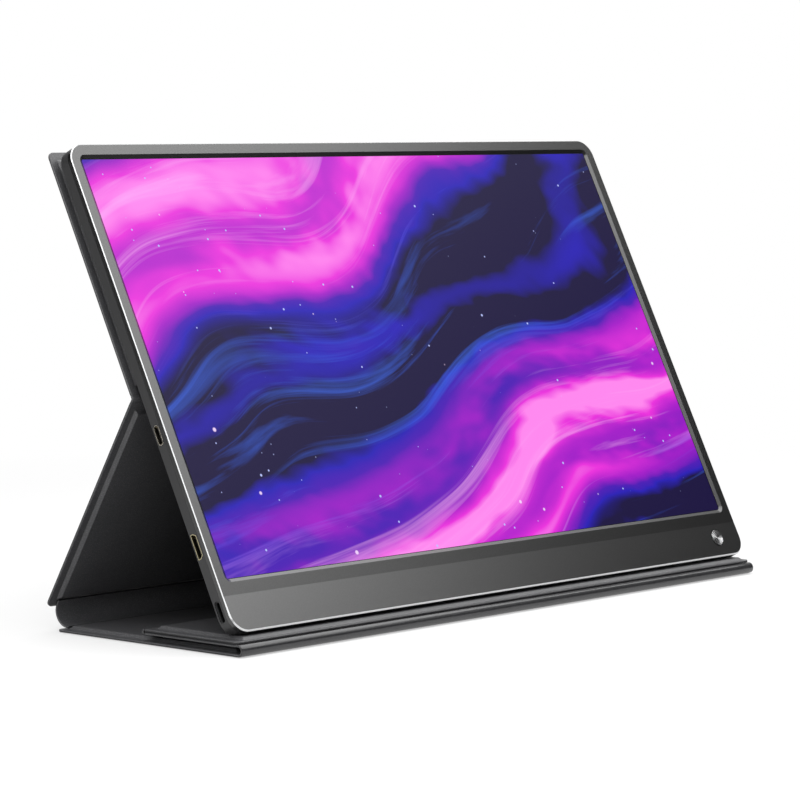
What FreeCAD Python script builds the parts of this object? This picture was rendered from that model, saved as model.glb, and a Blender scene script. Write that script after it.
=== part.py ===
"""Portable monitor held by magnets on a folio cover that is folded into a stand.

Millimetres. X runs along the width, -Y is the side that the screen faces, Z is up, and the origin is
the middle of the base panel's underside. The monitor is modelled upright in its own frame, X width,
Y depth behind its front face and Z height above its bottom edge, and each cover panel lying flat with
its outer face on Z = 0. Both are then turned into place.
"""
import FreeCAD, Part
import math
import os

# Display and monitor housing
active_width = 344.16
active_height = 193.59
side_bezel = 6.8
top_bezel = 6.8
chin_height = 24.0
monitor_depth = 9.5
housing_corner_radius = 8.5
frame_plate = 0.9
frame_band_depth = 2.3
frame_lip_depth = 0.7
frame_lip = 1.0
rim_chamfer = 0.35
window_margin = 0.3
window_bevel = 1.6
window_corner_radius = 1.8
chin_crease_height = 16.4
chin_rise = 0.3
housing_wall = 1.2
back_wall = 1.2
wall_depth = 7.0
back_taper = 4.0
foot_start = 3.6
seam_gap = 0.1
seat_gap = 0.1
least_radius = 0.5
cut_overshoot = 1.0

# Display stack
tape_thickness = 0.1
tape_width = 2.4
glass_thickness = 0.8
glass_margin = 3.3
glass_margin_bottom = 6.2
panel_clearance = 0.2
backlight_thickness = 1.15
backlight_fold = 0.4

# Ports and speaker outlets, heights above the housing's bottom edge
port_depth_centre = 4.75
usb_height = 91.0
usb_width = 8.94
usb_thickness = 3.26
usb_length = 7.6
hdmi_height = 40.6
hdmi_width = 11.2
hdmi_thickness = 3.2
hdmi_length = 7.8
hdmi_key = 1.1
port_wall = 0.3
port_clearance = 0.15
tongue_clearance = 0.9
tongue_thickness = 0.7
tongue_setback = 1.2
outlet_height = 11.0
outlet_length = 9.0
outlet_width = 2.0
outlet_bevel = 0.5
speaker_length = 46.0
speaker_height = 11.0
speaker_thickness = 3.3
speaker_mouth_depth = 4.0

# Boards, key and magnets inside the housing
board_thickness = 1.0
board_width = 84.0
board_above_speaker = 6.6
board_above_usb = 16.8
boss_radius = 2.2
boss_inset = 5.0
screw_radius = 0.8
screw_head_radius = 1.6
screw_head = 0.6
connector_width = 16.0
connector_height = 4.0
connector_thickness = 1.2
flex_width = 13.0
flex_thickness = 0.2
flex_rise = 28.0
key_radius = 4.1
key_from_edge = 18.1
key_height = 9.6
key_proud = 0.3
key_dish = 0.15
key_travel = 0.4
key_flange = 0.8
key_clearance = 0.2
key_board_width = 18.0
key_board_height = 9.0
switch_size = 4.5
switch_height = 1.4
magnet_radius = 5.0
magnet_thickness = 1.0
magnet_rows = 2
magnet_columns = 4
magnet_pitch_x = 88.0
magnet_pitch_z = 58.0

# Cover panels
cover_overlap = 0.62
skin_thickness = 0.5
lining_thickness = 0.6
pad_board = 1.5
pad_border = 3.8
pad_bevel = 1.7
board_inset = 0.9
panel_corner_radius = 3.0
base_length = 112.4
middle_flap_length = 55.6
top_flap_reach = 0.4
back_panel_rise = 1.8
stack_gap = 0.1
fold_gap = 0.5
crease_gap = 1.2
pull_gap = 0.3
foot_gap = 0.25

# How the stand is set up
screen_tilt = 26.45
foot_setback = 5.3
crease_height = 111.0
leg_overhang = 6.8
leg_end_height = 10.6
spine_thickness = 0.9
spine_tab_inset = 1.7
spine_side_inset = 4.6
spine_tab = 1.2
glue_gap = 0.1

monitor_width = active_width + 2 * side_bezel
monitor_height = active_height + top_bezel + chin_height
half_width = monitor_width / 2
active_bottom = chin_height
active_top = chin_height + active_height
flange = skin_thickness + lining_thickness
panel_depth = flange + pad_board
back_plane = monitor_depth - back_wall

X_AXIS = FreeCAD.Vector(1, 0, 0)
Y_AXIS = FreeCAD.Vector(0, 1, 0)
Z_AXIS = FreeCAD.Vector(0, 0, 1)


def point(x, y, z):
    return FreeCAD.Vector(x, y, z)


def wire_of(corners):
    return Part.makePolygon(corners + corners[:1])


def rounded_outline(left, right, bottom, top, radius, depth):
    """Rounded rectangle in a plane of constant depth, as lines and quarter arcs."""
    inward = radius * (1 - math.sqrt(0.5))
    edges = []
    starts = []
    corners = [(left, bottom, 1, 1), (right, bottom, -1, 1), (right, top, -1, -1), (left, top, 1, -1)]
    for turn, (x, z, sx, sz) in enumerate(corners):
        along_x = point(x + sx * radius, depth, z)
        along_z = point(x, depth, z + sz * radius)
        middle = point(x + sx * inward, depth, z + sz * inward)
        first, last = (along_z, along_x) if turn % 2 == 0 else (along_x, along_z)
        edges.append(Part.Arc(first, middle, last).toShape())
        starts.append((first, last))
    for turn in range(4):
        edges.append(Part.LineSegment(starts[turn][1], starts[(turn + 1) % 4][0]).toShape())
    return Part.Wire(Part.__sortEdges__(edges))


def housing_outline(inset, depth):
    radius = max(housing_corner_radius - inset, least_radius)
    right = half_width - inset
    return rounded_outline(-right, right, inset, monitor_height - inset, radius, depth)


def slab(outline, thickness):
    return Part.Face(outline).extrude(Y_AXIS * thickness)


def between(first, second):
    """Solid that tapers from one outline to another with the same corners."""
    return Part.makeLoft([first, second], True, True)


def box(x0, x1, y0, y1, z0, z1):
    return Part.makeBox(x1 - x0, y1 - y0, z1 - z0, point(x0, y0, z0))


def rod(radius, x, y0, y1, z):
    return Part.makeCylinder(radius, y1 - y0, point(x, y0, z), Y_AXIS)


def obround(x0, x1, depth, height, length, width):
    """Bar along X whose section has half-round ends, long along Z."""
    radius = width / 2
    reach = length / 2 - radius
    low = point(x0, depth, height - reach)
    high = point(x0, depth, height + reach)
    left = point(0, -radius, 0)
    edges = [
        Part.LineSegment(low + left, high + left).toShape(),
        Part.Arc(high + left, high + point(0, 0, radius), high - left).toShape(),
        Part.LineSegment(high - left, low - left).toShape(),
        Part.Arc(low - left, low - point(0, 0, radius), low + left).toShape(),
    ]
    return Part.Face(Part.Wire(edges)).extrude(X_AXIS * (x1 - x0))


def keyed_bar(x0, x1, depth, height, length, width, key):
    """Bar along X with the two cut-in corners of a mini-HDMI plug on its front side."""
    back = depth + width / 2
    front = depth - width / 2
    half = length / 2
    corners = [
        point(x0, back, height - half),
        point(x0, back, height + half),
        point(x0, depth, height + half),
        point(x0, front, height + half - key),
        point(x0, front, height - half + key),
        point(x0, depth, height - half),
    ]
    return Part.Face(wire_of(corners)).extrude(X_AXIS * (x1 - x0))


# Where the monitor stands. Its foot is the bottom wall's rear part, cut off level with the table, and
# stands on the top flap's pad.
tilt = math.radians(screen_tilt)
base_front = -base_length / 2
base_rear = base_length / 2
stack_height = 2 * panel_depth + stack_gap
front_fold_radius = stack_height / 2
front_axis = point(0, base_front + front_fold_radius, front_fold_radius)
rear_axis = point(0, front_axis.y + middle_flap_length, stack_height + stack_gap / 2)
top_flap_bottom = stack_height + stack_gap
top_flap_length = middle_flap_length + top_flap_reach
foot_y = rear_axis.y - top_flap_length + foot_setback
foot_z = top_flap_bottom + panel_depth + foot_gap
monitor_origin = point(0, foot_y - foot_start * math.cos(tilt), foot_z + foot_start * math.sin(tilt))
monitor_place = FreeCAD.Placement(monitor_origin, FreeCAD.Rotation(X_AXIS, -screen_tilt))

# The fold line between leg and back panel, on the cover's outer face behind the monitor.
cover_depth = monitor_depth + pull_gap + panel_depth
crease = monitor_place.multVec(point(0, cover_depth, crease_height))
leg_end = point(0, base_rear + leg_overhang, leg_end_height)
leg_run = crease - leg_end
leg_length = leg_run.Length
leg_lean = math.degrees(math.atan2(-leg_run.y, leg_run.z))
back_panel_length = monitor_height - crease_height + back_panel_rise


def placed(shape, placement):
    moved = shape.copy()
    moved.Placement = placement.multiply(moved.Placement)
    return moved


nodes = {}


def keep(name, shape):
    """Store one sub-part, as a single solid or a group of like solids."""
    nodes[name] = shape.removeSplitter()


def keep_in_monitor(name, shape):
    keep(name, placed(shape, monitor_place))


# Front frame: a thin plate with a bevelled window, a band round its rim and a lip that plugs the tub,
# both cut out at the corners to clear the square display.
def window(margin, depth):
    return rounded_outline(
        -active_width / 2 - margin,
        active_width / 2 + margin,
        active_bottom - margin,
        active_top + margin,
        window_corner_radius + margin - window_margin,
        depth,
    )


def ring(outer_inset, inner_inset, near, far):
    outer = slab(housing_outline(outer_inset, near), far - near)
    inner = slab(housing_outline(inner_inset, near - cut_overshoot), far - near + 2 * cut_overshoot)
    return outer.cut(inner)


glass_front = frame_plate + tape_thickness
glass_back = glass_front + glass_thickness
backlight_back = glass_back + backlight_thickness
glass_half = active_width / 2 + glass_margin
glass_bottom = active_bottom - glass_margin_bottom
glass_top = active_top + glass_margin
lip_outer = housing_wall + seat_gap
lip_inner = lip_outer + frame_lip
lip_end = frame_band_depth + frame_lip_depth
key_x = half_width - key_from_edge
key_hole_radius = key_radius + key_clearance
key_flange_radius = key_radius + key_flange
plate_front = slab(housing_outline(0, rim_chamfer), frame_plate - rim_chamfer)
rim = between(housing_outline(rim_chamfer, 0), housing_outline(0, rim_chamfer))
frame = rim.fuse([plate_front, ring(0, lip_inner, frame_plate, frame_band_depth)])
frame = frame.fuse(ring(lip_outer, lip_inner, frame_band_depth, lip_end))
panel_pocket = box(
    -glass_half - panel_clearance,
    glass_half + panel_clearance,
    frame_plate,
    lip_end + cut_overshoot,
    glass_bottom - panel_clearance,
    glass_top + panel_clearance,
)
frame = frame.cut(panel_pocket)
chin_edge = rim_chamfer + chin_rise
chin_profile = [
    point(-half_width, 0, chin_crease_height),
    point(-half_width, -chin_rise, chin_edge),
    point(-half_width, -chin_rise, 0),
    point(-half_width, 0, 0),
]
chin = Part.Face(wire_of(chin_profile)).extrude(X_AXIS * monitor_width)
chin = chin.common(between(housing_outline(chin_edge, -chin_rise), housing_outline(rim_chamfer, 0)))
opening = between(window(window_margin + window_bevel, 0), window(window_margin, frame_plate))
frame = frame.fuse(chin).cut(opening)
frame = frame.cut(
    rod(key_hole_radius, key_x, -chin_rise - cut_overshoot, frame_plate + cut_overshoot, key_height)
)
keep_in_monitor("front_frame", frame)

# Display stack behind the frame: adhesive ring, display and backlight tray.
tape_outer = box(-glass_half, glass_half, frame_plate, glass_front, glass_bottom, glass_top)
tape_inner = box(
    -glass_half + tape_width,
    glass_half - tape_width,
    frame_plate - cut_overshoot,
    glass_front + cut_overshoot,
    glass_bottom + tape_width + glass_margin_bottom - glass_margin,
    glass_top - tape_width,
)
keep_in_monitor("panel_tape", tape_outer.cut(tape_inner))
keep_in_monitor(
    "lcd_glass", box(-glass_half, glass_half, glass_front, glass_back, glass_bottom, glass_top)
)
tray = box(-glass_half, glass_half, glass_back, backlight_back, glass_bottom, glass_top)
rear_edges = [edge for edge in tray.Edges if edge.BoundBox.YMin > glass_back + backlight_thickness / 2]
keep_in_monitor("backlight_unit", tray.makeChamfer(backlight_fold, rear_edges))

# Back cover: a tub whose back is drawn in on all four sides and whose bottom wall is cut to a level
# foot, with cut-outs for ports and speakers.
wall_front = frame_band_depth + seam_gap
tub = slab(housing_outline(0, wall_front), wall_depth - wall_front)
tub = tub.fuse(between(housing_outline(0, wall_depth), housing_outline(back_taper, monitor_depth)))
inner_corner = wall_depth - back_wall
hollow_front = wall_front - cut_overshoot
hollow = slab(housing_outline(housing_wall, hollow_front), inner_corner - hollow_front)
hollow = hollow.fuse(
    between(
        housing_outline(housing_wall, inner_corner),
        housing_outline(housing_wall + back_taper, back_plane),
    )
)


def under_foot(rise):
    """Wedge below the level that the foot is cut to, or below one that lies higher by a wall."""
    far = monitor_depth + cut_overshoot
    near = foot_start - cut_overshoot / math.tan(tilt)
    corners = [
        point(-half_width, near, rise - cut_overshoot),
        point(-half_width, far, rise + (far - foot_start) * math.tan(tilt)),
        point(-half_width, far, -cut_overshoot),
    ]
    return Part.Face(wire_of(corners)).extrude(X_AXIS * monitor_width)


hollow = hollow.cut(under_foot(housing_wall / math.cos(tilt)))
tub = tub.cut(hollow).cut(under_foot(0))

port_cut_depth = housing_wall + back_taper
usb_cut = obround(
    -half_width - cut_overshoot,
    -half_width + port_cut_depth,
    port_depth_centre,
    usb_height,
    usb_width + 2 * port_clearance,
    usb_thickness + 2 * port_clearance,
)
hdmi_cut = keyed_bar(
    -half_width - cut_overshoot,
    -half_width + port_cut_depth,
    port_depth_centre,
    hdmi_height,
    hdmi_width + 2 * port_clearance,
    hdmi_thickness + 2 * port_clearance,
    hdmi_key,
)
tub = tub.cut([usb_cut, hdmi_cut])
for side in (-1, 1):
    outer = side * half_width
    far = outer - side * port_cut_depth
    slot = obround(
        min(outer, far) - cut_overshoot,
        max(outer, far) + cut_overshoot,
        port_depth_centre,
        outlet_height,
        outlet_length,
        outlet_width,
    )
    sunk = outer - side * outlet_bevel
    beyond = outer + side * cut_overshoot
    mouth = obround(
        min(sunk, beyond),
        max(sunk, beyond),
        port_depth_centre,
        outlet_height,
        outlet_length + 2 * outlet_bevel,
        outlet_width + 2 * outlet_bevel,
    )
    tub = tub.cut([slot, mouth])

# Main board on four bosses of the back cover, flush against the two ports.
board_front = port_depth_centre + max(usb_thickness, hdmi_thickness) / 2 + seat_gap
board_back = board_front + board_thickness
board_left = -half_width + housing_wall + back_taper
board_right = board_left + board_width
board_bottom = outlet_height + speaker_height / 2 + board_above_speaker
board_top = usb_height + board_above_usb
boss_places = [
    (x, z)
    for x in (board_left + boss_inset, board_right - boss_inset)
    for z in (board_bottom + boss_inset, board_top - boss_inset)
]
board = box(board_left, board_right, board_front, board_back, board_bottom, board_top)
for x, z in boss_places:
    boss = rod(boss_radius, x, board_back, back_plane + back_wall / 2, z)
    tub = tub.fuse(boss)
    hole = rod(screw_radius + seat_gap / 2, x, board_front - cut_overshoot, back_plane, z)
    tub = tub.cut(hole)
    board = board.cut(hole)
keep_in_monitor("main_board", board)


def board_screw(x, z):
    head = rod(screw_head_radius, x, board_front - screw_head, board_front, z)
    return head.fuse(rod(screw_radius, x, board_front, back_plane - seat_gap, z))


keep_in_monitor("board_screws", Part.makeCompound([board_screw(x, z) for x, z in boss_places]))

# USB-C socket: drawn steel shell, closed behind, with its tongue.
usb_back = -half_width + usb_length
usb_shell = obround(-half_width, usb_back, port_depth_centre, usb_height, usb_width, usb_thickness)
usb_shell = usb_shell.cut(
    obround(
        -half_width - cut_overshoot,
        usb_back - port_wall,
        port_depth_centre,
        usb_height,
        usb_width - 2 * port_wall,
        usb_thickness - 2 * port_wall,
    )
)
keep_in_monitor("usb_c_shell", usb_shell)
usb_tongue_half = usb_width / 2 - port_wall - tongue_clearance
usb_tongue = box(
    -half_width + tongue_setback,
    usb_back - port_wall,
    port_depth_centre - tongue_thickness / 2,
    port_depth_centre + tongue_thickness / 2,
    usb_height - usb_tongue_half,
    usb_height + usb_tongue_half,
)
keep_in_monitor("usb_c_tongue", usb_tongue)

# Mini-HDMI socket: keyed shell, closed behind, with its tongue.
hdmi_back = -half_width + hdmi_length
hdmi_shell = keyed_bar(
    -half_width, hdmi_back, port_depth_centre, hdmi_height, hdmi_width, hdmi_thickness, hdmi_key
)
hdmi_shell = hdmi_shell.cut(
    keyed_bar(
        -half_width - cut_overshoot,
        hdmi_back - port_wall,
        port_depth_centre,
        hdmi_height,
        hdmi_width - 2 * port_wall,
        hdmi_thickness - 2 * port_wall,
        hdmi_key,
    )
)
keep_in_monitor("mini_hdmi_shell", hdmi_shell)
hdmi_tongue_half = hdmi_width / 2 - port_wall - tongue_clearance
hdmi_tongue = box(
    -half_width + tongue_setback,
    hdmi_back - port_wall,
    port_depth_centre - tongue_thickness / 2,
    port_depth_centre + tongue_thickness / 2,
    hdmi_height - hdmi_tongue_half,
    hdmi_height + hdmi_tongue_half,
)
keep_in_monitor("mini_hdmi_tongue", hdmi_tongue)

# Flat cable from the board's connector up to the back of the display.
connector_x = board_right - boss_inset - connector_width
connector_z = board_top - boss_inset
connector_front = board_front - connector_thickness
connector = box(
    connector_x - connector_width / 2,
    connector_x + connector_width / 2,
    connector_front,
    board_front,
    connector_z - connector_height,
    connector_z,
)
keep_in_monitor("flex_connector", connector)
flex_low = connector_front - flex_thickness
flex_left = connector_x - flex_width / 2
flex_end = connector_z + flex_rise
flex_profile = [
    point(flex_left, flex_low, connector_z - connector_height),
    point(flex_left, flex_low, connector_z + connector_height),
    point(flex_left, backlight_back, flex_end - connector_height),
    point(flex_left, backlight_back, flex_end + connector_height),
    point(flex_left, backlight_back + flex_thickness, flex_end + connector_height),
    point(flex_left, backlight_back + flex_thickness, flex_end - connector_height),
    point(flex_left, connector_front, connector_z + connector_height),
    point(flex_left, connector_front, connector_z - connector_height),
]
keep_in_monitor("panel_flex", Part.Face(wire_of(flex_profile)).extrude(X_AXIS * flex_width))

# Speaker boxes in the two bottom corners, each open towards its slot.
speaker_front = back_plane - seat_gap - speaker_thickness
speaker_inset = housing_wall + back_taper + seat_gap
speaker_corner_radius = max(housing_corner_radius - speaker_inset, least_radius)
for name, side in (("left_speaker", -1), ("right_speaker", 1)):
    near = side * (half_width - speaker_inset)
    far = near - side * speaker_length
    low = outlet_height - speaker_height / 2
    shell = box(
        min(near, far),
        max(near, far),
        speaker_front,
        back_plane - seat_gap,
        max(low, speaker_inset),
        low + speaker_height,
    )
    mouth = obround(
        min(near, near - side * speaker_mouth_depth),
        max(near, near - side * speaker_mouth_depth),
        (speaker_front + back_plane) / 2,
        outlet_height,
        outlet_length - 2 * outlet_bevel,
        outlet_width,
    )
    corner = [
        edge
        for edge in shell.Edges
        if abs(edge.CenterOfMass.x - near) < least_radius
        and edge.BoundBox.ZMax < outlet_height
        and edge.BoundBox.YLength > speaker_thickness / 2
    ]
    keep_in_monitor(name, shell.makeFillet(speaker_corner_radius, corner).cut(mouth))

# Power key: dished metal cap with a flange behind the frame plate, over a switch on a small board.
flange_front = frame_plate + seat_gap
flange_back = flange_front + key_flange
chin_share = (chin_crease_height - key_height) / (chin_crease_height - chin_edge)
cap_face = -chin_rise * chin_share - key_proud
key = rod(key_radius, key_x, cap_face, flange_front, key_height)
key = key.fuse(rod(key_flange_radius, key_x, flange_front, flange_back, key_height))
dish_radius = key_radius * key_radius / (2 * key_dish)
dish = Part.makeSphere(dish_radius, point(key_x, cap_face + key_dish - dish_radius, key_height))
keep_in_monitor("power_key", key.cut(dish))
switch_front = flange_back + key_travel + seat_gap
switch_back = switch_front + switch_height
switch = box(
    key_x - switch_size / 2,
    key_x + switch_size / 2,
    switch_front,
    switch_back,
    key_height - switch_size / 2,
    key_height + switch_size / 2,
)
keep_in_monitor("key_switch", switch)
key_board_back = switch_back + board_thickness
key_board = box(
    key_x - key_board_width / 2,
    key_x + key_board_width / 2,
    switch_back,
    key_board_back,
    key_height - key_board_height / 2,
    key_height + key_board_height / 2,
)
keep_in_monitor("key_board", key_board)

# Magnets that hold the monitor to the cover, in rows on both sides of the joint between them.
magnet_middle = crease_height + back_panel_length / 2
magnet_across = [(column - (magnet_columns - 1) / 2) * magnet_pitch_x for column in range(magnet_columns)]
magnet_up = [magnet_middle + (row - (magnet_rows - 1) / 2) * magnet_pitch_z for row in range(magnet_rows)]
magnet_places = [(x, z) for x in magnet_across for z in magnet_up]
housing_magnets = [
    rod(magnet_radius, x, back_plane - magnet_thickness, back_plane, z) for x, z in magnet_places
]
keep_in_monitor("housing_magnets", Part.makeCompound(housing_magnets))
keep_in_monitor("back_cover", tub)

# Cover panels: flat outer skin, bevelled stiffening board, and a lining drawn over the board.
half_cover = half_width + cover_overlap


def rectangle(inset, start, end, height):
    left = -half_cover + inset
    right = half_cover - inset
    return wire_of(
        [
            point(left, start + inset, height),
            point(right, start + inset, height),
            point(right, end - inset, height),
            point(left, end - inset, height),
        ]
    )


def sheet(start, end, low, high, free_end):
    """Flat layer of a panel, rounded at the corners of its end where that is free."""
    plate = box(-half_cover, half_cover, start, end, low, high)
    if not free_end:
        return plate
    corners = [edge for edge in plate.Edges if edge.BoundBox.YMin > (start + end) / 2]
    corners = [edge for edge in corners if edge.BoundBox.ZLength > (high - low) / 2]
    return plate.makeFillet(panel_corner_radius, corners)


def bevelled_pad(inset, start, end, low, high):
    return between(rectangle(inset, start, end, low), rectangle(inset + pad_bevel, start, end, high))


def add_panel(name, start, end, placement, free_end=True, pockets=()):
    """One panel from its first fold to its other end, lying on its outer face before it is placed."""
    skin = sheet(start, end, 0, skin_thickness, free_end)
    board_top = skin_thickness + pad_board
    stiffener = bevelled_pad(pad_border + board_inset, start, end, skin_thickness, board_top)
    lining = sheet(start, end, skin_thickness, flange, free_end)
    lining = lining.fuse(bevelled_pad(pad_border, start, end, flange, panel_depth)).cut(stiffener)
    for pocket in pockets:
        stiffener = stiffener.cut(pocket)
    keep(name + "_skin", placed(skin, placement))
    keep(name + "_board", placed(stiffener, placement))
    keep(name + "_lining", placed(lining, placement))


over_x = FreeCAD.Vector(-1, 0, 0)
lean = math.radians(leg_lean)
leg_inward = point(0, -math.cos(lean), -math.sin(lean))
leg_down = point(0, math.sin(lean), -math.cos(lean))
back_inward = point(0, -math.cos(tilt), math.sin(tilt))
back_up = point(0, math.sin(tilt), math.cos(tilt))
base_place = FreeCAD.Placement(point(0, front_axis.y, 0), FreeCAD.Rotation())
middle_place = FreeCAD.Placement(point(0, front_axis.y, stack_height), FreeCAD.Rotation(Y_AXIS, 180))
top_place = FreeCAD.Placement(point(0, rear_axis.y, top_flap_bottom), FreeCAD.Rotation(Z_AXIS, 180))
leg_place = FreeCAD.Placement(crease, FreeCAD.Rotation(over_x, leg_down, leg_inward, "ZYX"))
back_place = FreeCAD.Placement(crease, FreeCAD.Rotation(X_AXIS, back_up, back_inward, "ZYX"))

magnet_low = skin_thickness + pad_board - magnet_thickness
cover_magnets = []
magnet_pockets = []
for x, z in magnet_places:
    where = point(x, z - crease_height, magnet_low)
    cover_magnets.append(Part.makeCylinder(magnet_radius, magnet_thickness, where, Z_AXIS))
    pocket_radius = magnet_radius + seat_gap
    magnet_pockets.append(Part.makeCylinder(pocket_radius, magnet_thickness, where, Z_AXIS))

add_panel("back_panel", crease_gap, back_panel_length, back_place, pockets=magnet_pockets)
add_panel("leg", crease_gap, leg_length, leg_place)
add_panel("base", fold_gap, base_rear - front_axis.y, base_place)
add_panel("middle_flap", fold_gap, middle_flap_length - fold_gap, middle_place, free_end=False)
add_panel("top_flap", fold_gap, top_flap_length, top_place)
keep("back_panel_magnets", placed(Part.makeCompound(cover_magnets), back_place))


# Soft folds: each is a bent strip of the cover's two layers, with its section drawn across the width.
def strip(edges, half_length):
    section = Part.Face(Part.Wire(edges))
    section.translate(point(-half_length, 0, 0))
    return section.extrude(X_AXIS * 2 * half_length)


def line(first, last):
    return Part.LineSegment(first, last).toShape()


def arc(first, middle, last):
    return Part.Arc(first, middle, last).toShape()


def half_tube(axis, side, outer, inner, low_tab, high_tab):
    """Half-round fold on one side of its axis, with short tabs towards the two panels."""
    top = point(0, 0, 1)
    reach = point(0, side, 0)
    low_out = axis - top * outer
    high_out = axis + top * outer
    low_in = axis - top * inner
    high_in = axis + top * inner
    return [
        line(low_out - reach * low_tab, low_out),
        arc(low_out, axis + reach * outer, high_out),
        line(high_out, high_out - reach * high_tab),
        line(high_out - reach * high_tab, high_in - reach * high_tab),
        line(high_in - reach * high_tab, high_in),
        arc(high_in, axis + reach * inner, low_in),
        line(low_in, low_in - reach * low_tab),
        line(low_in - reach * low_tab, low_out - reach * low_tab),
    ]


loose_tab = fold_gap - glue_gap
front_inner = front_fold_radius - flange
front_fold_edges = half_tube(front_axis, -1, front_fold_radius, front_inner, fold_gap, loose_tab)
keep("front_fold", strip(front_fold_edges, half_cover))
rear_inner = stack_gap / 2
rear_fold_edges = half_tube(rear_axis, 1, rear_inner + flange, rear_inner, fold_gap, loose_tab)
keep("rear_fold", strip(rear_fold_edges, half_cover))

back_tab = back_up * (crease_gap - glue_gap)
leg_tab = leg_down * crease_gap
ridge_back = crease + back_inward * flange
ridge_leg = crease + leg_inward * flange
ridge_middle = crease + (back_inward + leg_inward).normalize() * flange
upper_edges = [
    line(crease + back_tab, crease),
    line(crease, crease + leg_tab),
    line(crease + leg_tab, ridge_leg + leg_tab),
    line(ridge_leg + leg_tab, ridge_leg),
    arc(ridge_leg, ridge_middle, ridge_back),
    line(ridge_back, ridge_back + back_tab),
    line(ridge_back + back_tab, crease + back_tab),
]
keep("upper_fold", strip(upper_edges, half_cover))

# Spine: a strip glued to the borders of base and leg, bowed out in an arc that touches both.
spine_floor = flange + glue_gap
spine_y = base_rear - spine_tab_inset
leg_face = leg_end + leg_inward * spine_floor
spine_rise = math.cos(lean) * (leg_face.y - spine_y) + math.sin(lean) * (leg_face.z - spine_floor)
spine_radius = spine_rise / (1 + math.sin(lean))
spine_centre = point(0, spine_y, spine_floor + spine_radius)
spine_turn = math.radians(90 + leg_lean)
half_turn = (lean - math.pi / 2) / 2
bow = point(0, math.cos(half_turn), math.sin(half_turn))
spine_inner = spine_radius - spine_thickness
base_tab = point(0, -spine_tab, 0)
low_out = spine_centre - Z_AXIS * spine_radius
low_in = spine_centre - Z_AXIS * spine_inner
high_out = spine_centre - leg_inward * spine_radius
high_in = spine_centre - leg_inward * spine_inner
high_tab = leg_down * -spine_tab
spine_edges = [
    line(low_out + base_tab, low_out),
    arc(low_out, spine_centre + bow * spine_radius, high_out),
    line(high_out, high_out + high_tab),
    line(high_out + high_tab, high_in + high_tab),
    line(high_in + high_tab, high_in),
    arc(high_in, spine_centre + bow * spine_inner, low_in),
    line(low_in, low_in + base_tab),
    line(low_in + base_tab, low_out + base_tab),
]
keep("spine_strip", strip(spine_edges, half_cover - spine_side_inset))

# The leg turns about the point that takes its end to where it lies with the spine flat on the table.
spine_flat = (spine_radius - spine_thickness / 2) * spine_turn
leg_inset = (high_out - leg_face).dot(leg_down * -1)
flat_end = point(0, base_rear + spine_flat - spine_tab_inset - leg_inset, 0)
swing = flat_end - leg_end
towards_axis = point(0, swing.z, -swing.y).normalize()
leg_axis = (leg_end + flat_end) * 0.5 + towards_axis * (swing.Length / 2 / math.tan(spine_turn / 2))

for label, axis in (("leg", leg_axis), ("crease", crease), ("front", front_axis), ("rear", rear_axis)):
    print("%s axis: y %.4f z %.4f" % (label, axis.y, axis.z))
print("leg lean %.4f, leg length %.3f, monitor origin y %.4f z %.4f" % (
    leg_lean, leg_length, monitor_origin.y, monitor_origin.z))

os.makedirs("parts", exist_ok=True)
for name, shape in nodes.items():
    shape.exportStep("parts/%s.step" % name)
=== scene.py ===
"""Looks of a portable monitor that stands on its folded folio cover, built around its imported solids.

Metres. X runs along the width, -Y is the side that the screen faces and Z is up.
"""
import math

import bmesh
import bpy
from mathutils import Matrix, Vector


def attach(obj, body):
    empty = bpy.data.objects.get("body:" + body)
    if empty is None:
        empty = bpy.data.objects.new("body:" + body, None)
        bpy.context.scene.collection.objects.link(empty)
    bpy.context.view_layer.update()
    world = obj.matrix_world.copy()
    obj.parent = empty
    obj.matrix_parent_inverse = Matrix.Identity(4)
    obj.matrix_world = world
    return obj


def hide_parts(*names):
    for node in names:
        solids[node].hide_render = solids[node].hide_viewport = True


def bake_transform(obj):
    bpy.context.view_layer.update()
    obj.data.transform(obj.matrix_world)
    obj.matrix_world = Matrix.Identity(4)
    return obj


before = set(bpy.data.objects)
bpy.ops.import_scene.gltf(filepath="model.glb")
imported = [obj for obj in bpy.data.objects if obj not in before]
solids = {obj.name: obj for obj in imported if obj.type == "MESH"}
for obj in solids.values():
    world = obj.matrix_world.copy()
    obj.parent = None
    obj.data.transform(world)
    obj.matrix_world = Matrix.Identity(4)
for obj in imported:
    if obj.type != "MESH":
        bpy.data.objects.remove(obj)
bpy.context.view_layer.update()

# Base panel: pressed greyboard between an outer skin and a lining of coated split leather. The skin is
# turned in at the edges. The lining is drawn over the bevelled board and heat-pressed onto the skin.
MM = 0.001


def linear(code):
    """Linear colour of an sRGB hex value."""
    shares = [int(code[i:i + 2], 16) / 255 for i in (1, 3, 5)]
    return [s / 12.92 if s <= 0.04045 else ((s + 0.055) / 1.055) ** 2.4 for s in shares] + [1.0]


def add_node(tree, kind, settings, links=None):
    """One shader node with its settings and its linked inputs."""
    made = tree.nodes.new(kind)
    for key, value in settings.items():
        if key == "stops":
            ramp = made.color_ramp.elements
            while len(ramp) < len(value):
                ramp.new(1.0)
            for element, (position, code) in zip(ramp, value):
                element.position = position
                element.color = linear(code)
        elif isinstance(key, str) and hasattr(made, key):
            setattr(made, key, value)
        else:
            made.inputs[key].default_value = value
    for key, socket in (links or {}).items():
        tree.links.new(socket, made.inputs[key])
    return made


def new_material(name, constants):
    """Material with its node tree and its shader, on which the constants are set."""
    made = bpy.data.materials.new(name)
    made.use_nodes = True
    shader = made.node_tree.nodes["Principled BSDF"]
    for key, value in constants.items():
        shader.inputs[key].default_value = value
    return made, made.node_tree, shader


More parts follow.
